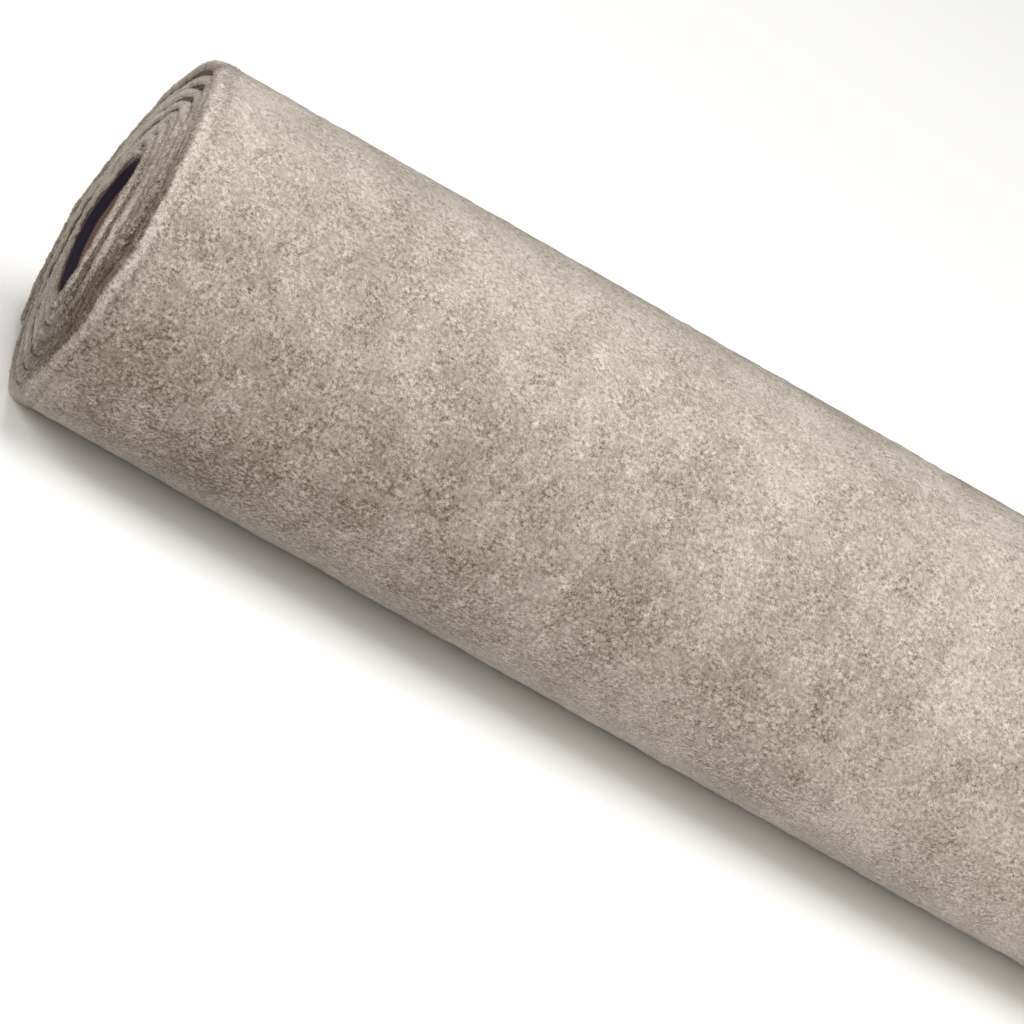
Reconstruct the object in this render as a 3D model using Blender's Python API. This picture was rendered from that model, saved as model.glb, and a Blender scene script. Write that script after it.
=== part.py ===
"""A length of short pile carpet, wound up with its pile outside, lying on its side along X.

The carpet starts as the flat slab that it is cut to and is then wound. Angles are in the YZ
plane: 0 is +Y, the back, 90 is up, 180 is the front and 270 is down.
"""

import math

import bmesh
import bpy

# The carpet laid flat, in metres, and how often it goes round, in whole steps of a turn
CARPET_WIDTH = 1.22
STEPS_PER_TURN = 36
STEPS = 265

# How it is wound: the hollow in the middle, and what each turn adds to the radius
HOLLOW_RADIUS = 0.0366
TURN_PITCH = 0.01012
TURN_GAP = 0.0008
LOOSE_END_ANGLE = -60

# The hollow is taller than it is wide, and each turn outwards is rounder
HOLLOW_STRETCH = 0.005
STRETCH_ANGLE = 68
STRETCH_FADE = 1.5

# The roll's own weight flattens its lowest line by this much
FLAT_DEPTH = 0.0025

# The pile leans over at the carpet's cut edges: thickness left at each distance from the edge
CUT_EDGE = (
    # distance, thickness_left
    (0.0, 0.55),
    (0.004, 0.85),
    (0.014, 1.0),
)
WOUND_END_THICKNESS = 0.6

# How far each part of the photographed end stands out of the roll, in metres. The carpet's
# other edge is as far in there, because its width is the same all along.
END_RELIEF = (
    # angle, innermost, middle, outermost
    (0.0, 0.0072, 0.0015, -0.0022),
    (22.5, 0.0060, -0.0010, -0.0055),
    (45.0, 0.0052, -0.0030, -0.0085),
    (67.5, 0.0055, -0.0025, -0.0100),
    (90.0, 0.0065, 0.0000, -0.0062),
    (112.5, 0.0085, 0.0025, -0.0040),
    (135.0, 0.0110, 0.0045, -0.0027),
    (157.5, 0.0125, 0.0053, -0.0022),
    (180.0, 0.0120, 0.0045, -0.0005),
    (202.5, 0.0100, 0.0025, 0.0005),
    (225.0, 0.0080, 0.0010, 0.0010),
    (247.5, 0.0065, 0.0005, 0.0005),
    (270.0, 0.0062, 0.0010, 0.0003),
    (292.5, 0.0068, 0.0018, 0.0008),
    (315.0, 0.0078, 0.0025, 0.0022),
    (337.5, 0.0082, 0.0025, 0.0018),
)

FULL_TURN = 2 * math.pi
WOUND_ANGLE = STEPS * FULL_TURN / STEPS_PER_TURN


def make_material(name, colour, roughness):
    material = bpy.data.materials.new(name)
    material.use_nodes = True
    shader = material.node_tree.nodes["Principled BSDF"]
    shader.inputs["Base Color"].default_value = (*colour, 1)
    shader.inputs["Roughness"].default_value = roughness
    shader.inputs["Metallic"].default_value = 0
    return material


def direction_of(wound):
    """The angle in the YZ plane of the carpet that lies this far along the winding."""
    return math.radians(LOOSE_END_ANGLE) + WOUND_ANGLE - wound


def layer_radius(wound):
    """The radius of the line between this turn's inner face and the turn before it."""
    inward = max(0, 1 - wound / WOUND_ANGLE)
    stretch = HOLLOW_STRETCH * inward**STRETCH_FADE
    lean = 2 * (direction_of(wound) - math.radians(STRETCH_ANGLE))
    return HOLLOW_RADIUS + TURN_PITCH * wound / FULL_TURN + stretch * math.cos(lean)


def inner_face(wound):
    return layer_radius(wound) + TURN_GAP / 2


def outer_face(wound):
    return layer_radius(wound + FULL_TURN) - TURN_GAP / 2


def blend(start, end, share):
    """A value between two others that leaves each of them level."""
    return start + (end - start) * share * share * (3 - 2 * share)


def relief_at(wound):
    """How far the photographed end of the carpet stands out at this place in the winding."""
    rows = len(END_RELIEF)
    place = math.degrees(direction_of(wound)) % 360 / 360 * rows
    before = END_RELIEF[int(place) % rows][1:]
    after = END_RELIEF[(int(place) + 1) % rows][1:]
    inner, middle, outer = (blend(a, b, place % 1) for a, b in zip(before, after))
    share = 2 * wound / WOUND_ANGLE
    return blend(inner, middle, share) if share < 1 else blend(middle, outer, share - 1)


def axis_height():
    """The height of the roll's axis, with the flat on its lowest line at zero."""
    lowest = WOUND_ANGLE - math.radians(270 - LOOSE_END_ANGLE) % FULL_TURN
    return outer_face(lowest) - FLAT_DEPTH


def across_carpet():
    """Each line along the carpet: its place across the width and its thickness share."""
    near_edge = [(-CARPET_WIDTH / 2 + distance, left) for distance, left in CUT_EDGE]
    return near_edge + [(-across, left) for across, left in reversed(near_edge)]


def flat_slab(lines):
    """A unit slab, cut across once for each step of the winding and along once for each line."""
    slab = bmesh.new()
    bmesh.ops.create_cube(slab, size=1)
    for axis, cuts in ((1, STEPS - 1), (0, len(lines) - 2)):
        edges = [edge for edge in slab.edges
                 if abs(edge.verts[0].co[axis] - edge.verts[1].co[axis]) > 0.5]
        bmesh.ops.subdivide_edges(slab, edges=edges, cuts=cuts)
    for face in slab.faces:
        face.material_index = int(all(vertex.co.z < 0 for vertex in face.verts))
    return slab


def wind(slab, lines):
    """Moves each point of the flat slab to where it lies in the roll."""
    height = axis_height()
    for vertex in slab.verts:
        across, thickness = lines[round((vertex.co.x + 0.5) * (len(lines) - 1))]
        step = round((vertex.co.y + 0.5) * STEPS)
        wound = step * FULL_TURN / STEPS_PER_TURN
        if step in (0, STEPS):
            thickness *= WOUND_END_THICKNESS
        radius = inner_face(wound)
        if vertex.co.z > 0:
            radius += (outer_face(wound) - radius) * thickness
        angle = direction_of(wound)
        vertex.co.x = across - relief_at(wound)
        vertex.co.y = radius * math.cos(angle)
        vertex.co.z = max(0, height + radius * math.sin(angle))


def centre_on_floor(slab):
    """Puts the middle of the roll's outline, seen from above, over the origin."""
    for axis in (0, 1):
        places = [vertex.co[axis] for vertex in slab.verts]
        middle = (min(places) + max(places)) / 2
        for vertex in slab.verts:
            vertex.co[axis] -= middle


def make_roll(collection):
    lines = across_carpet()
    slab = flat_slab(lines)
    wind(slab, lines)
    centre_on_floor(slab)
    mesh = bpy.data.meshes.new("carpet_roll")
    slab.to_mesh(mesh)
    slab.free()
    mesh.shade_smooth()
    mesh.set_sharp_from_angle(angle=math.radians(35))
    mesh.materials.append(make_material("beige_cut_pile", (0.47, 0.40, 0.32), 0.95))
    mesh.materials.append(make_material("brown_woven_backing", (0.17, 0.12, 0.095), 0.9))
    collection.objects.link(bpy.data.objects.new("carpet_roll", mesh))


def main():
    for item in list(bpy.data.objects):
        bpy.data.objects.remove(item)
    collection = bpy.data.collections.new("rolled_up_carpet")
    bpy.context.scene.collection.children.link(collection)
    make_roll(collection)


main()
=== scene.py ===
import math

import bpy
import numpy as np
from mathutils import Matrix, Vector


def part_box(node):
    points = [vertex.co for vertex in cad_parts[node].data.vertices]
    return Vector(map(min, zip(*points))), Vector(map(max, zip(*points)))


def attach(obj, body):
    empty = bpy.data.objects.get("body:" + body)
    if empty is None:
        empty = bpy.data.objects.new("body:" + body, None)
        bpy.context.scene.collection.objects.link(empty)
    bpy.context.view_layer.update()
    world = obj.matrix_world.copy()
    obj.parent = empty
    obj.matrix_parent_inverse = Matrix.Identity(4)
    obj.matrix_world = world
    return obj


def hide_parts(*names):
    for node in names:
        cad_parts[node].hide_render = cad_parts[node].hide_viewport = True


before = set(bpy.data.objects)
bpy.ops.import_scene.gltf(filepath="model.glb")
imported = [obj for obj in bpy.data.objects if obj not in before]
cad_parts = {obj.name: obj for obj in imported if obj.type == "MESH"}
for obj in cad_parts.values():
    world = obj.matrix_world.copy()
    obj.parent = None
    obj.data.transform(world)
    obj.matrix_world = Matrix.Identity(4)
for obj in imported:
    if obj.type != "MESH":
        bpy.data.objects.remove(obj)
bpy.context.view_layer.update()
print("frame loaded")

mm = 0.001
fullTurn = 2 * math.pi

# How the carpet is wound, as its CAD solid is: metres, and degrees in the YZ plane, where
# 0 is the back, 90 is up, 180 is the front and 270 is down
winding = {
    "carpetWidth": 1.22,
    "carpetLength": 3.66,
    "stepsPerTurn": 36,
    "steps": 265,
    "hollowRadius": 0.0366,
    "turnPitch": 0.01012,
    "turnGap": 0.0008,
    "looseEndAngle": -60,
    "hollowStretch": 0.005,  # added to the hollow's radius at this angle, taken off across it
    "stretchAngle": 68,
    "stretchFade": 1.5,  # above 1 the turns get round sooner
    "flatDepth": 0.0025,  # how far the roll's weight flattens its lowest line
}

# How far each part of the photographed end stands out: angle, innermost, middle, outermost
endRelief = (
    (0.0, 0.0072, 0.0015, -0.0022),
    (22.5, 0.0060, -0.0010, -0.0055),
    (45.0, 0.0052, -0.0030, -0.0085),
    (67.5, 0.0055, -0.0025, -0.0100),
    (90.0, 0.0065, 0.0000, -0.0062),
    (112.5, 0.0085, 0.0025, -0.0040),
    (135.0, 0.0110, 0.0045, -0.0027),
    (157.5, 0.0125, 0.0053, -0.0022),
    (180.0, 0.0120, 0.0045, -0.0005),
    (202.5, 0.0100, 0.0025, 0.0005),
    (225.0, 0.0080, 0.0010, 0.0010),
    (247.5, 0.0065, 0.0005, 0.0005),
    (270.0, 0.0062, 0.0010, 0.0003),
    (292.5, 0.0068, 0.0018, 0.0008),
    (315.0, 0.0078, 0.0025, 0.0022),
    (337.5, 0.0082, 0.0025, 0.0018),
)

woundAngle = winding["steps"] * fullTurn / winding["stepsPerTurn"]
halfWidth = winding["carpetWidth"] / 2


# A place along the carpet is the angle wound so far, in radians, from its inner end
def directionOf(wound):
    return math.radians(winding["looseEndAngle"]) + woundAngle - wound


def layerRadius(wound):
    inward = np.maximum(0, 1 - wound / woundAngle)
    stretch = winding["hollowStretch"] * inward ** winding["stretchFade"]
    lean = 2 * (directionOf(wound) - math.radians(winding["stretchAngle"]))
    return winding["hollowRadius"] + winding["turnPitch"] * wound / fullTurn + stretch * np.cos(lean)


def innerFace(wound):
    return layerRadius(wound) + winding["turnGap"] / 2


def outerFace(wound):
    return layerRadius(wound + fullTurn) - winding["turnGap"] / 2


# A value between two others that leaves each of them level
def ease(start, end, share):
    return start + (end - start) * share * share * (3 - 2 * share)


# 1 in the middle and 0 from reach outwards
def fade(distance, reach):
    return np.cos(np.pi / 2 * np.minimum(1, np.abs(distance) / reach)) ** 2


def reliefAt(wound):
    table = np.array(endRelief)[:, 1:]
    place = np.degrees(directionOf(wound)) % 360 / 360 * len(table)
    row = place.astype(int) % len(table)
    part = (place % 1)[..., None]
    inner, middle, outer = np.moveaxis(ease(table[row], table[(row + 1) % len(table)], part), -1, 0)
    share = 2 * wound / woundAngle
    return np.where(share < 1, ease(inner, middle, np.minimum(share, 1)),
                    ease(middle, outer, np.maximum(share - 1, 0)))


# Length of carpet from its inner end to here, along the middle of its thickness
def arcLength(wound):
    pitch = winding["turnPitch"] / fullTurn
    start = winding["hollowRadius"] + winding["turnPitch"] / 2
    return start * wound + pitch * wound * wound / 2


# The other way round: places along the winding between first and last, from lengths of carpet
def placesAt(lengths, first, last):
    fine = np.linspace(first, last, 4000)
    return np.interp(lengths, arcLength(fine), fine)


def rowsBetween(first, last, spacing):
    start, end = arcLength(first), arcLength(last)
    count = int(round((end - start) / spacing)) + 1
    return placesAt(np.linspace(start, end, count), first, last)


# The place this many turns in from the outside, at this angle in degrees
def turnPlace(turnsIn, angle):
    return woundAngle - math.radians((angle - winding["looseEndAngle"]) % 360 + 360 * turnsIn)


# Where the winding is uneven at the ends: how many turns in from the outside and at what
# angle, how far round that reaches, how deep the turn's edge is pushed in, and how much of the
# pile's height is lost there
slackPlaces = (
    (0, 72, 45, 0.0000, 0.20),
    (0, 150, 100, -0.0012, 0.00),
    (0, 173, 22, -0.0026, 0.00),
    (0, 211, 32, -0.0055, 0.00),
    (1, 58, 42, 0.0016, 0.32),
    (2, 80, 40, 0.0030, 0.85),
    (3, 60, 30, 0.0000, 0.45),
    (1, 158, 80, 0.0012, 0.10),
    (2, 158, 70, 0.0002, 0.10),
    (3, 158, 70, 0.0010, 0.20),
    (4, 160, 60, -0.0010, 0.10),
    (5, 160, 60, 0.0006, 0.20),
    (6, 165, 75, 0.0022, 0.25),
    (2, 215, 42, 0.0035, 0.20),
    (3, 222, 36, 0.0015, 0.20),
    (1, 300, 40, 0.0010, 0.10),
    (3, 330, 50, 0.0010, 0.10),
    (1, 256, 56, 0.0000, -0.22),
    (2, 256, 56, 0.0000, -0.22),
    (3, 256, 56, 0.0000, -0.22),
    (4, 256, 56, 0.0000, -0.22),
)


def slackAt(wound):
    pushed, lost = 0 * wound, 0 * wound
    for turnsIn, angle, reach, depth, share in slackPlaces:
        near = fade(wound - turnPlace(turnsIn, angle), math.radians(reach))
        pushed = pushed + depth * near
        lost = lost + share * near
    return pushed, lost


# Painted light and shade in the pile's colour: darker in recesses and on shaded sides, lighter on crests,
# the rim and where light falls.
# Columns: turns in from the outside, angle, distance from the photographed edge, how far it reaches in
# turns, in degrees and in metres, and the change
paintedShadingPlaces = (
    (2, 162, 0.0, 2.2, 60, 0.020, -0.28),
    (1, 162, 0.0, 1.0, 60, 0.020, -0.28),
    (2.6, 198, 0.0, 3.8, 52, 0.020, -0.66),
    (6, 165, 0.0, 0.9, 75, 0.015, 0.22),
    (5, 165, 0.0, 0.9, 80, 0.015, -0.36),
    (4, 170, 0.0, 0.9, 54, 0.020, 0.32),
    (3, 25, 0.0, 6.0, 110, 0.020, 0.46),
    (3, 60, 0.0, 6.0, 50, 0.020, 0.20),
    (3, 268, 0.0, 4.0, 50, 0.020, 0.27),
    (3, 246, 0.0, 2.8, 32, 0.020, -0.48),
    (1.6, 221, 0.0, 1.6, 30, 0.020, -0.24),
    (0, 76, 0.0, 0.9, 9, 0.005, -0.30),
    (0, 165, 0.0, 0.9, 90, 0.0022, -0.50),
    (0, 160, 0.004, 0.9, 100, 0.0070, 0.52),
    (0, 236, 0.004, 0.9, 44, 0.0140, 0.40),
    (0, 232, 0.08, 0.9, 95, 0.42, -0.22),
    (0, 212, 0.25, 0.9, 90, 0.80, -0.12),
    (0, 252, 0.30, 0.9, 32, 0.90, 0.62),
    (0, 150, 0.58, 0.9, 60, 0.25, 0.10),
    (0, 68, 0.40, 0.9, 26, 0.90, -0.26),
)


# Adds up the painted light and shade at each place on the carpet
def paintedShadingAt(across, wound):
    inward = across + halfWidth
    change = 0 * (across + wound)
    for turnsIn, angle, place, turnReach, angleReach, placeReach, shift in paintedShadingPlaces:
        turns = (turnPlace(0, angle) - wound) / fullTurn
        whole = np.rint(turns)
        change = change + (shift * fade(whole - turnsIn, turnReach) * fade(inward - place, placeReach)
                           * fade(360 * (turns - whole), angleReach))
    return change


# Where the CAD solid puts the roll
lowCorner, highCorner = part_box("carpet_roll")
cadSteps = np.arange(winding["steps"] + 1) * fullTurn / winding["stepsPerTurn"]
frontWound = woundAngle - math.radians(180 - winding["looseEndAngle"])
floorWound = woundAngle - math.radians(270 - winding["looseEndAngle"])
rollMiddle = lowCorner[0] + halfWidth + reliefAt(cadSteps).max()
axisY = lowCorner[1] + outerFace(np.array([frontWound]))[0]
axisZ = outerFace(np.array([floorWound]))[0] - winding["flatDepth"]


# Points of the wound carpet, from the place across it, along it, and the radius
def onRoll(across, wound, radius):
    angle = directionOf(wound)
    return np.stack([
        rollMiddle + across - reliefAt(wound) + slackAt(wound)[0],
        axisY + radius * np.cos(angle),
        np.maximum(0, axisZ + radius * np.sin(angle)),
    ], axis=-1)


noiseCells = 64  # the noise repeats after this many lumps
noiseTables = {}


# Smooth noise from -1 to 1 with lumps of about this size
def softNoise(points, size, seed):
    if seed not in noiseTables:
        random = np.random.default_rng(seed)
        noiseTables[seed] = random.uniform(-1, 1, (noiseCells, noiseCells, noiseCells))
    table = noiseTables[seed]
    scaled = points / size
    cell = np.floor(scaled).astype(int)
    part = scaled - cell
    part = part * part * (3 - 2 * part)
    total = 0
    for corner in np.ndindex(2, 2, 2):
        weight = np.prod(np.where(corner, part, 1 - part), axis=-1)
        x, y, z = np.moveaxis((cell + corner) % noiseCells, -1, 0)
        total = total + weight * table[x, y, z]
    return total


mergeDistance = 0.00001
smoothAngle = 60


def addAttribute(mesh, label, values, kind):
    layer = mesh.attributes.new(label, kind, "POINT")
    layer.data.foreach_set("value" if kind == "FLOAT" else "vector", values.astype(np.float32).ravel())


# A closed piece from a grid of points whose rows go round the carpet's own section
def wrapSheet(name, points, attributes):
    rows, columns = points.shape[:2]
    bpy.ops.object.select_all(action="DESELECT")
    bpy.ops.mesh.primitive_grid_add(x_subdivisions=columns, y_subdivisions=rows - 1, size=1)
    piece = bpy.context.object
    piece.name = piece.data.name = name
    count = len(piece.data.vertices)
    unit = np.empty(count * 3, np.float32)
    piece.data.vertices.foreach_get("co", unit)
    unit = unit.reshape(count, 3) + 0.5
    column = np.rint(unit[:, 0] * columns).astype(int) % columns
    row = np.rint(unit[:, 1] * (rows - 1)).astype(int)
    piece.data.vertices.foreach_set("co", points[row, column].astype(np.float32).ravel())
    for label, values in attributes.items():
        kind = "FLOAT" if values.ndim == 2 else "FLOAT_VECTOR"
        addAttribute(piece.data, label, values[row, column], kind)
    bpy.ops.object.mode_set(mode="EDIT")
    bpy.ops.mesh.select_all(action="SELECT")
    bpy.ops.mesh.remove_doubles(threshold=mergeDistance)
    bpy.ops.mesh.select_all(action="SELECT")
    bpy.ops.mesh.fill_holes(sides=0)
    bpy.ops.mesh.select_all(action="SELECT")
    bpy.ops.mesh.normals_make_consistent(inside=False)
    bpy.ops.object.mode_set(mode="OBJECT")
    bpy.ops.object.shade_smooth_by_angle(angle=math.radians(smoothAngle))
    return piece


def finishPiece(piece, material):
    piece.data.materials.clear()
    piece.data.materials.append(material)
    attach(piece, "root")
    print(piece.name, len(piece.data.polygons), "faces")


# A hex colour as linear numbers
def srgb(code):
    parts = [int(code[i:i + 2], 16) / 255 for i in (1, 3, 5)]
    return [c / 12.92 if c <= 0.04045 else ((c + 0.055) / 1.055) ** 2.4 for c in parts] + [1]


# Settings are the node's own or its inputs' values, links are the inputs that another node feeds
def addNode(tree, kind, settings=None, links=None):
    node = tree.nodes.new(kind)
    for key, value in (settings or {}).items():
        if isinstance(key, str) and hasattr(node, key):
            setattr(node, key, value)
        else:
            node.inputs[key].default_value = value
    for key, source in (links or {}).items():
        tree.links.new(source, node.inputs[key])
    return node


def newMaterial(name):
    material = bpy.data.materials.new(name)
    material.use_nodes = True
    return material, material.node_tree, material.node_tree.nodes["Principled BSDF"]


def finishShader(tree, shader, colour, bump, finish):
    tree.links.new(colour.outputs[2], shader.inputs["Base Color"])
    tree.links.new(bump.outputs["Normal"], shader.inputs["Normal"])
    shader.inputs["Roughness"].default_value = finish["roughness"]
    shader.inputs["Specular IOR Level"].default_value = finish["specular"]


# Nylon cut pile, sheared: matt and ruffled in places. Its colour has random tone, with painted shade
# between the tufts where the bump is low, and towards the roots of the pile.
# Real fibres are far too fine to show, so they are drawn 1 mm wide
pileFinish = {
    "tip": "#D2C7BA",
    "shade": "#5B4E39",
    # Painted shade towards the roots of the fibres, deep in the pile
    "root": "#4F3B20",
    "grainAndGapShade": 0.72,
    "clumpShare": 0.5,
    "ruffling": (0.6, 1.4),  # the grain's strength where the pile is smoothest and most ruffled
    "cloudTone": (0.365, 0.655),
    "cloudSqueeze": 1.3,  # clouds are this much shorter along the roll than round it
    "bumpHeight": 0.9,  # in mm
    "roughness": 0.95,
    "specular": 0.2,
    "sheen": 0.25,
    "sheenRoughness": 0.5,
}
pileNoises = (  # name, size in mm, detail, roughness
    ("fibre", 1.0, 0.5, 0.5),
    ("tuft", 2.3, 0.5, 0.5),
    ("clump", 5, 1, 0.5),
    ("ruffle", 10, 1, 0.6),
    ("cloud", 60, 3, 0.8),
)
noiseMiddle = 0.5
noiseSpread = 0.2  # nearly all of a noise lies this close to its middle


# A noise's values, spread over the range from low to high
def noiseRange(tree, noise, low, high):
    return addNode(tree, "ShaderNodeMapRange",
                   {"From Min": noiseMiddle - noiseSpread, "From Max": noiseMiddle + noiseSpread,
                    "To Min": low, "To Max": high}, {"Value": noise.outputs["Fac"]})


def cutPileMaterial():
    material, tree, shader = newMaterial("shearedCutPile")
    place = addNode(tree, "ShaderNodeTexCoord").outputs["Object"]
    squeezed = addNode(tree, "ShaderNodeMapping", {"Scale": (pileFinish["cloudSqueeze"], 1, 1)},
                       {"Vector": place}).outputs["Vector"]
    noises = {}
    for name, size, detail, roughness in pileNoises:
        noises[name] = addNode(tree, "ShaderNodeTexNoise",
                               {"Scale": 1 / (size * mm), "Detail": detail, "Roughness": roughness},
                               {"Vector": squeezed if name == "cloud" else place})
    # The fine grain, centred on 0: random tone and bump, which also paints shade in the gaps between tufts
    fine = addNode(tree, "ShaderNodeMath", {"operation": "ADD"},
                   {0: noises["fibre"].outputs["Fac"], 1: noises["tuft"].outputs["Fac"]})
    grainAndGapShade = addNode(tree, "ShaderNodeMath", {"operation": "MULTIPLY_ADD", 1: pileFinish["clumpShare"]},
                    {0: noises["clump"].outputs["Fac"], 2: fine.outputs[0]})
    centred = addNode(tree, "ShaderNodeMath",
                      {"operation": "SUBTRACT", 1: noiseMiddle * (2 + pileFinish["clumpShare"])},
                      {0: grainAndGapShade.outputs[0]})
    smoothest, roughest = (share * pileFinish["grainAndGapShade"] for share in pileFinish["ruffling"])
    ruffled = noiseRange(tree, noises["ruffle"], smoothest, roughest)
    # The broad tone: random clouds, plus the painted light and shade from the table of places
    clouds = noiseRange(tree, noises["cloud"], *pileFinish["cloudTone"])
    paintedShading = addNode(tree, "ShaderNodeAttribute", {"attribute_name": "paintedShading"})
    cloudsAndPaintedShading = addNode(tree, "ShaderNodeMath", {"operation": "ADD"},
                      {0: clouds.outputs["Result"], 1: paintedShading.outputs["Fac"]})
    tone = addNode(tree, "ShaderNodeMath", {"operation": "MULTIPLY_ADD"},
                   {0: centred.outputs[0], 1: ruffled.outputs["Result"], 2: cloudsAndPaintedShading.outputs[0]})
    surface = addNode(tree, "ShaderNodeMix", {"data_type": "RGBA", 6: srgb(pileFinish["shade"]),
                                              7: srgb(pileFinish["tip"])}, {0: tone.outputs[0]})
    # Darker towards the pile's roots: painted shade deep in the pile
    depth = addNode(tree, "ShaderNodeAttribute", {"attribute_name": "unshadedShare"})
    colour = addNode(tree, "ShaderNodeMix", {"data_type": "RGBA", 6: srgb(pileFinish["root"])},
                     {0: depth.outputs["Fac"], 7: surface.outputs[2]})
    bump = addNode(tree, "ShaderNodeBump", {"Strength": 1.0, "Distance": pileFinish["bumpHeight"] * mm},
                   {"Height": grainAndGapShade.outputs[0]})
    finishShader(tree, shader, colour, bump, pileFinish)
    shader.inputs["Sheen Weight"].default_value = pileFinish["sheen"]
    shader.inputs["Sheen Roughness"].default_value = pileFinish["sheenRoughness"]
    return material


# Woven jute with latex: coarse threads, dull and brown. The innermost turn is paler and redder,
# and near its cut edges its colour is painted near-black: painted shade inside the hollow
backingFinish = {
    "thread": "#74645A",
    "gapColour": "#51453D",
    "innerThread": "#B0937F",
    "innerGap": "#88705F",
    "innerTurnEnds": (0.30, 0.36),  # metres of carpet from its inner end
    # Painted shade inside the hollow: the innermost turn's colour near its cut edges, and how far in it
    # reaches
    "paintedHollowShade": "#332C38",
    "paintedHollowShadeWidth": 7.6,  # in mm, as are those below
    "paintedHollowShadeBlur": 0.6,
    "threadSpacing": 2.96,
    "bumpHeight": 0.3,
    "threadWaver": 1.5,
    "bumpStrength": 0.5,
    "roughness": 0.9,
    "specular": 0.2,
}


def backingMaterial():
    material, tree, shader = newMaterial("wovenJuteBacking")
    flat = addNode(tree, "ShaderNodeAttribute", {"attribute_name": "flatPlace"}).outputs["Vector"]
    waveScale = fullTurn / 20 / (backingFinish["threadSpacing"] * mm)  # a wave turns 20 radians a unit
    waves = [addNode(tree, "ShaderNodeTexWave",
                     {"wave_type": "BANDS", "bands_direction": direction, "Scale": waveScale,
                      "Distortion": backingFinish["threadWaver"], "Detail": 1.0},
                     {"Vector": flat}) for direction in ("X", "Y")]
    weave = addNode(tree, "ShaderNodeMath", {"operation": "MULTIPLY"},
                    {0: waves[0].outputs["Fac"], 1: waves[1].outputs["Fac"]})
    woven, pale = (addNode(tree, "ShaderNodeMix", {"data_type": "RGBA", 6: srgb(backingFinish[gap]),
                                                   7: srgb(backingFinish[thread])},
                           {0: weave.outputs[0]})
                   for gap, thread in (("gapColour", "thread"), ("innerGap", "innerThread")))
    parts = addNode(tree, "ShaderNodeSeparateXYZ", {}, {0: flat})
    innerFrom, innerTo = backingFinish["innerTurnEnds"]
    inside = addNode(tree, "ShaderNodeMapRange", {"From Min": innerFrom, "From Max": innerTo,
                                                  "To Min": 1, "To Max": 0}, {"Value": parts.outputs["Y"]})
    # The innermost turn goes near-black near its cut edges: painted shade inside the hollow
    distance = addNode(tree, "ShaderNodeMath", {"operation": "ABSOLUTE"}, {0: parts.outputs["X"]})
    edge = halfWidth - backingFinish["paintedHollowShadeWidth"] * mm
    blur = backingFinish["paintedHollowShadeBlur"] * mm
    paintedHollowShade = addNode(tree, "ShaderNodeMapRange", {"From Min": edge - blur, "From Max": edge + blur},
                     {"Value": distance.outputs[0]})
    ends = addNode(tree, "ShaderNodeMix", {"data_type": "RGBA", 7: srgb(backingFinish["paintedHollowShade"])},
                   {0: paintedHollowShade.outputs["Result"], 6: pale.outputs[2]})
    colour = addNode(tree, "ShaderNodeMix", {"data_type": "RGBA"},
                     {0: inside.outputs["Result"], 6: woven.outputs[2], 7: ends.outputs[2]})
    bump = addNode(tree, "ShaderNodeBump", {"Strength": backingFinish["bumpStrength"],
                                            "Distance": backingFinish["bumpHeight"] * mm},
                   {"Height": weave.outputs[0]})
    finishShader(tree, shader, colour, bump, backingFinish)
    return material


backing = {
    "thickness": 0.0018,
    "rowSpacing": 0.003,
    "insetAtEdge": 0.0014,
}


def makeBacking():
    wound = rowsBetween(0, woundAngle, backing["rowSpacing"])[:, None]
    edge = halfWidth - backing["insetAtEdge"]
    across = np.array([[-edge, -edge, edge, edge]]) + 0 * wound
    rise = np.array([[0, 1, 1, 0]]) * backing["thickness"]
    points = onRoll(across, wound + 0 * across, innerFace(wound) + rise)
    flat = np.stack([across, arcLength(wound) + 0 * across, 0 * across], axis=-1)
    return wrapSheet("wovenBacking", points, {"flatPlace": flat})


# The pile, in metres and radians
pile = {
    "gridSpacing": 0.0024,
    "innerRowSpacing": 0.0018,
    "sinkIntoBacking": 0.00005,
    "slackReach": 0.018,  # how far in from the cut edge the slack places are felt
    "fullAtEdge": 0.24,  # under the outermost turn the pile is fuller along its cut edges
    "fullFade": 0.6,
    "innerStop": 0.06,  # the inner turns stop this far short of the outermost turn
    "outerStart": 0.04,
    "heightAtEnds": 0.003,  # the pile rounds down over its first and last rows
    "startRounding": 0.008,
    "looseEndRounding": 0.012,
    "meetAt": (313, 122),  # degrees from the loose end where the outermost turn's stretches meet
    "tuck": (0.00005, 0.0007),
    # How much of the pile's colour is left at its roots, and how it grows towards the tips: painted shade
    # deep in the pile
    "unshadedAtRoot": 0.25,
    "unshadedCurve": 0.8,
}
pileLumps = {  # size, height, seed
    "clumps": (0.0065, 0.00035, 1),
    "swells": (0.022, 0.0003, 2),
    "raggedEdge": (0.005, 0.0007, 3),
    "wanderingEdge": (0.03, 0.0009, 4),
}
# Its rounded cut edges: how far in each row lies and how much of the height is left
outerEdgeProfile = (
    (0.0003, 0.0), (-0.0006, 0.12), (-0.0010, 0.27), (-0.0011, 0.42), (-0.0009, 0.57),
    (-0.0005, 0.72), (0.0000, 0.84), (0.0007, 0.92), (0.0017, 0.97), (0.0032, 1.0),
    (0.0055, 1.01), (0.0085, 1.01), (0.0120, 1.005), (0.0164, 1.0),
)
innerEdgeProfile = (
    (0.0003, 0.0), (-0.0004, 0.14), (-0.0008, 0.30), (-0.0008, 0.46), (-0.0004, 0.62),
    (0.0003, 0.76), (0.0012, 0.87), (0.0024, 0.95), (0.0040, 0.985), (0.0062, 1.0),
    (0.0110, 1.0), (0.0200, 1.0),
)


# Places across the carpet and height shares, from one cut edge over the top to the other
def pileColumns(profile, middle):
    near = [(-halfWidth + inward, share) for inward, share in profile]
    far = [(-across, share) for across, share in reversed(near)]
    return np.array(near + middle + far)


def lumpsOf(name, flat):
    size, height, seed = pileLumps[name]
    return height * softNoise(flat, size, seed)


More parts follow.
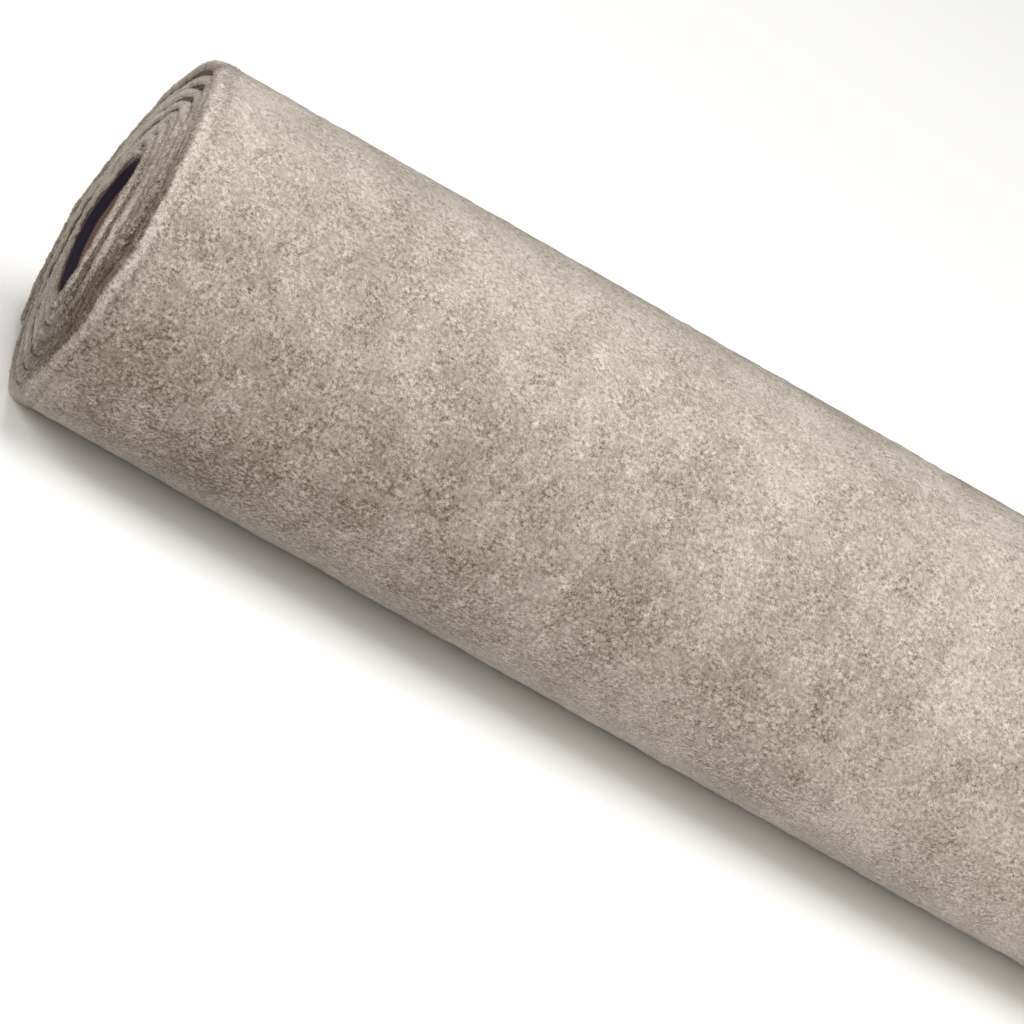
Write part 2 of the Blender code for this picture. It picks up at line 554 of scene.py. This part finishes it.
# Points on the pile, and the same places on the carpet laid flat
def pileSurface(across, wound, share, lowered=1.0, tuck=0.0):
    base = innerFace(wound) + backing["thickness"] - pile["sinkIntoBacking"]
    flat = np.stack(np.broadcast_arrays(across, arcLength(wound), 0.0), axis=-1)
    inward = np.clip((halfWidth - np.abs(across)) / pile["slackReach"], 0, 1)
    full = pile["fullAtEdge"] * np.clip((woundAngle - fullTurn - wound) / pile["fullFade"], 0, 1)
    left = 1 + (full - slackAt(wound)[1]) * (1 - inward) ** 2
    height = (outerFace(wound) - base) * lowered * left + lumpsOf("clumps", flat) + lumpsOf("swells", flat)
    outwards = np.sign(across) * (lumpsOf("raggedEdge", flat) * (1 - share)
                                  + lumpsOf("wanderingEdge", flat) * (1 - inward))
    points = onRoll(across + outwards, wound + 0 * across, base + share * (height - tuck))
    return points, flat


def pileSlab(name, wound, columns, tuck, lowered):
    across, share = columns[None, :, 0], columns[None, :, 1]
    points, flat = pileSurface(across, wound[:, None], share, lowered[:, None], tuck[:, None])
    # Painted shade: darker towards the roots of the pile, seen along its cut edges
    deepest = pile["unshadedAtRoot"]
    tip = deepest + (1 - deepest) * np.clip(share, 0, 1) ** pile["unshadedCurve"] + 0 * wound[:, None]
    # The last attribute holds the painted light and shade from the table of places
    return wrapSheet(name, points, {"flatPlace": flat, "unshadedShare": tip,
                                    "paintedShading": paintedShadingAt(across, wound[:, None])})


# The share of the pile's height at this distance from the first or last row
def roundedDown(distance, reach):
    return np.clip((distance + pile["heightAtEnds"]) / reach, 0, 1) ** 0.5


# The inner turns show only at their cut edges
def makeInnerTurns():
    last = woundAngle - fullTurn - pile["innerStop"]
    wound = rowsBetween(0, last, pile["innerRowSpacing"])
    lowered = roundedDown(arcLength(wound), pile["startRounding"])
    return pileSlab("pileInnerTurns", wound, pileColumns(innerEdgeProfile, []), 0 * wound, lowered)


# The outermost turn, in three stretches that are tucked under a little where they meet
def makeOuterTurn():
    spacing = pile["gridSpacing"]
    inner = halfWidth - outerEdgeProfile[-1][0]
    places = np.linspace(-inner, inner, int(2 * inner / spacing) + 1)[1:-1]
    columns = pileColumns(outerEdgeProfile, [(place, 1.0) for place in places])
    meets = [woundAngle - math.radians(angle) for angle in pile["meetAt"]]
    cuts = [woundAngle - fullTurn - pile["outerStart"], *meets, woundAngle]
    shallow, deep = pile["tuck"]
    pieces = []
    for number, (first, last) in enumerate(zip(cuts, cuts[1:]), 1):
        wound = rowsBetween(first, last, spacing)
        step = wound[1] - wound[0]
        tuck = 0 * wound
        if number > 1:
            wound = np.concatenate([first - step * np.array([2, 1]), wound])
            tuck = np.concatenate([[deep, shallow], tuck])
        if number <= len(meets):
            wound = np.concatenate([wound, last + step * np.array([1, 2])])
            tuck = np.concatenate([tuck, [shallow, deep]])
        left = arcLength(woundAngle) - arcLength(wound)
        lowered = roundedDown(left, pile["looseEndRounding"])
        pieces.append(pileSlab(f"pileOuterTurn{number}", wound, columns, tuck, lowered))
    return pieces


# Loose tips of the tufts along both cut edges, as thin three sided cones
edgeTufts = {
    "innerCount": 44000,
    "outerCount": 26000,
    "innerReach": 0.0045,  # how far in from the cut edge they grow
    "outerReach": 0.0120,
    "thinning": 2.2,  # above 1 they crowd towards the cut edge
    "length": (0.0008, 0.0019),
    "radius": (0.00032, 0.00052),
    "sunk": 0.0005,
    "overFloor": 0.0001,
    "lockSize": 0.003,
    "lean": (0.75, 0.45, 0.55, 0.3),  # along the surface's normal, the radius, the lock, each alone
    "unshadedAtRoot": 0.75,  # painted shade: the share left unshaded at each tuft's root
    "unshadedLowDown": 0.6,  # painted shade: the share left unshaded on the tufts lowest on the pile's side
    "unshadedCurve": 0.7,
    "innerSeed": 20,
    "outerSeed": 40,
    "sideSeed": 8,
}


# Evenly along the carpet's edge, thinning out inwards over the top of the pile
def tuftPlaces(random, first, last, profile, reach, count):
    table = np.array([row for row in profile if row[0] <= reach])
    pileHeight = outerFace(woundAngle - 1) - innerFace(woundAngle - 1) - backing["thickness"]
    steps = np.diff(table * (1, pileHeight), axis=0)
    runs = np.concatenate([[0], np.cumsum(np.linalg.norm(steps, axis=1))])
    run = random.uniform(0, 1, count) ** edgeTufts["thinning"] * runs[-1]
    inward, share = (np.interp(run, runs, table[:, column]) for column in (0, 1))
    row = np.clip(np.searchsorted(runs, run) - 1, 0, len(runs) - 2)
    slope = steps[row] / np.diff(runs)[row][:, None]
    wound = placesAt(random.uniform(arcLength(first), arcLength(last), count), first, last)
    return inward, share, slope, wound


# Out of the surface, and leaning together in locks; then the two directions across each tuft
def tuftDirections(random, side, wound, slope, flat, seed):
    angle = directionOf(wound)
    radial = np.stack([0 * angle, np.cos(angle), np.sin(angle)], axis=-1)
    aside = np.stack([0 * angle, -np.sin(angle), np.cos(angle)], axis=-1)
    normal = radial * slope[:, :1] + np.array([side, 0, 0]) * slope[:, 1:]
    lock = sum(vector * softNoise(flat, edgeTufts["lockSize"], seed + shift)[:, None]
               for shift, vector in enumerate((radial, aside, np.array([1, 0, 0]))))
    alone = random.normal(0, 1, (len(wound), 3))
    growth = sum(weight * part for weight, part in zip(edgeTufts["lean"], (normal, radial, lock, alone)))
    growth /= np.linalg.norm(growth, axis=1, keepdims=True)
    crossway = np.cross(growth, aside)
    crossway /= np.linalg.norm(crossway, axis=1, keepdims=True)
    return growth, crossway, np.cross(growth, crossway)


# Fills the mesh with a copy of its faces for each row of vertices
def repeatFaces(mesh, vertices):
    faces = np.array([list(face.vertices) for face in mesh.polygons])
    copies, corners = vertices.shape[:2]
    triangles = (faces[None] + corners * np.arange(copies)[:, None, None]).reshape(-1, 3)
    mesh.clear_geometry()
    mesh.vertices.add(copies * corners)
    mesh.vertices.foreach_set("co", vertices.astype(np.float32).ravel())
    mesh.loops.add(triangles.size)
    mesh.loops.foreach_set("vertex_index", triangles.ravel().astype(np.int32))
    mesh.polygons.add(len(triangles))
    mesh.polygons.foreach_set("loop_start", np.arange(0, triangles.size, 3, dtype=np.int32))
    mesh.update(calc_edges=True)


def makeEdgeTufts(name, side, first, last, profile, reach, count, seed):
    random = np.random.default_rng(seed)
    bpy.ops.object.select_all(action="DESELECT")
    bpy.ops.mesh.primitive_cone_add(vertices=3, radius1=1, radius2=0, depth=1)
    piece = bpy.context.object
    piece.name = piece.data.name = name
    corners = np.array([vertex.co for vertex in piece.data.vertices]) + (0, 0, 0.5)
    inward, share, slope, wound = tuftPlaces(random, first, last, profile, reach, count)
    across = side * (halfWidth - inward)
    points, flat = pileSurface(across, wound, share)
    growth, crossway, lengthway = tuftDirections(random, side, wound, slope, flat, seed)
    length = random.uniform(*edgeTufts["length"], count)[:, None, None]
    radius = random.uniform(*edgeTufts["radius"], count)[:, None, None]
    vertices = ((points - growth * edgeTufts["sunk"])[:, None]
                + radius * corners[:, 0:1] * crossway[:, None]
                + radius * corners[:, 1:2] * lengthway[:, None]
                + length * corners[:, 2:3] * growth[:, None])
    vertices[..., 2] = np.maximum(vertices[..., 2], edgeTufts["overFloor"])
    repeatFaces(piece.data, vertices)
    # Painted shade: each tuft darker at its root, and darker the lower it stands on the pile's side
    root, low = edgeTufts["unshadedAtRoot"], edgeTufts["unshadedLowDown"]
    upThePile = np.clip(share, 0, 1)[:, None] ** edgeTufts["unshadedCurve"]
    tip = (root + (1 - root) * corners[:, 2]) * (low + (1 - low) * upThePile)
    addAttribute(piece.data, "unshadedShare", tip, "FLOAT")
    # The painted light and shade from the table of places, for each tuft
    addAttribute(piece.data, "paintedShading", paintedShadingAt(across, wound)[:, None] + 0 * tip, "FLOAT")
    return piece


def makeAllEdgeTufts():
    pieces = []
    outerStart = woundAngle - fullTurn
    for side, label in ((-1, "Near"), (1, "Far")):
        shift = side * edgeTufts["sideSeed"]
        pieces.append(makeEdgeTufts(f"edgeTufts{label}Inner", side, 0, outerStart, innerEdgeProfile,
                                    edgeTufts["innerReach"], edgeTufts["innerCount"],
                                    edgeTufts["innerSeed"] + shift))
        pieces.append(makeEdgeTufts(f"edgeTufts{label}Outer", side, outerStart, woundAngle,
                                    outerEdgeProfile, edgeTufts["outerReach"], edgeTufts["outerCount"],
                                    edgeTufts["outerSeed"] + shift))
    return pieces


pileMaterial = cutPileMaterial()
wovenBacking = makeBacking()
finishPiece(wovenBacking, backingMaterial())
pilePieces = [makeInnerTurns(), *makeOuterTurn(), *makeAllEdgeTufts()]
for piece in pilePieces:
    finishPiece(piece, pileMaterial)
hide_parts("carpet_roll")

studio = {
    "floorSize": 120,
    "floorColour": "#F0EFED",
    "floorRoughness": 1.0,
    "worldStrength": 0.34,
    "lightsAimAt": (0, 0, 0.1),
    "lens": 600,
    "sensor": 36,
    "azimuth": -12.2,
    "elevation": 22,
    "metresPerPixel": 0.000578,
    "rimPixel": (107, 228),  # the middle of the photographed end
    "axisSlope": 29.43,  # degrees between the roll's axis and the picture's lower edge
    "imageSize": 1024,
    "clipping": (0.5, 200),
}
softLights = (  # name, place, size, watts
    ("softTop", (0.0, -0.3, 3.2), 2.5, 85),
    ("softFront", (0.0, -1.6, 3.0), 2.5, 21),
    ("softEnd", (1.7, -1.3, 0.35), 0.9, 27),
    ("softHollow", (-3.0, -0.25, 1.2), 2.0, 50),
)


def makeFloor():
    bpy.ops.object.select_all(action="DESELECT")
    bpy.ops.mesh.primitive_grid_add(x_subdivisions=2, y_subdivisions=2, size=studio["floorSize"])
    floor = bpy.context.object
    floor.name = "studioFloor"
    material, tree, shader = newMaterial("paintedStudioFloor")
    shader.inputs["Base Color"].default_value = srgb(studio["floorColour"])
    shader.inputs["Roughness"].default_value = studio["floorRoughness"]
    floor.data.materials.append(material)


def makeLights():
    world = bpy.data.worlds.new("studioWorld")
    world.use_nodes = True
    background = world.node_tree.nodes["Background"]
    background.inputs["Color"].default_value = (1, 1, 1, 1)
    background.inputs["Strength"].default_value = studio["worldStrength"]
    bpy.context.scene.world = world
    for name, place, size, watts in softLights:
        bpy.ops.object.light_add(type="AREA", location=place)
        light = bpy.context.object
        light.name = name
        light.data.energy = watts
        light.data.size = size
        light.rotation_mode = "QUATERNION"
        towards = Vector(place) - Vector(studio["lightsAimAt"])
        light.rotation_quaternion = towards.to_track_quat("Z", "Y")
    bpy.context.scene.view_settings.view_transform = "Standard"


# The photo's camera: far off, looking along the roll's side, and turned about its own axis
def makeCamera():
    azimuth, elevation = math.radians(studio["azimuth"]), math.radians(studio["elevation"])
    back = Vector((math.sin(azimuth) * math.cos(elevation), -math.cos(azimuth) * math.cos(elevation),
                   math.sin(elevation)))
    right = Vector((0, 0, 1)).cross(back).normalized()
    up = back.cross(right)
    slope = math.atan2(up.x, right.x) + math.radians(studio["axisSlope"])
    right, up = (right * math.cos(slope) + up * math.sin(slope),
                 up * math.cos(slope) - right * math.sin(slope))
    rim = Vector((rollMiddle - halfWidth, axisY, axisZ))
    half = studio["imageSize"] / 2
    aside = (half - studio["rimPixel"][0]) * studio["metresPerPixel"]
    above = (studio["rimPixel"][1] - half) * studio["metresPerPixel"]
    distance = studio["imageSize"] * studio["metresPerPixel"] * studio["lens"] / studio["sensor"]
    place = rim + right * aside + up * above + back * distance
    bpy.ops.object.camera_add(location=place)
    camera = bpy.context.object
    camera.name = "photoCamera"
    camera.data.lens = studio["lens"]
    camera.data.sensor_width = studio["sensor"]
    camera.data.clip_start, camera.data.clip_end = studio["clipping"]
    camera.matrix_world = Matrix((
        (right.x, up.x, back.x, place.x),
        (right.y, up.y, back.y, place.y),
        (right.z, up.z, back.z, place.z),
        (0, 0, 0, 1),
    ))
    bpy.context.scene.camera = camera


makeFloor()
makeLights()
makeCamera()
print("studio and camera placed")
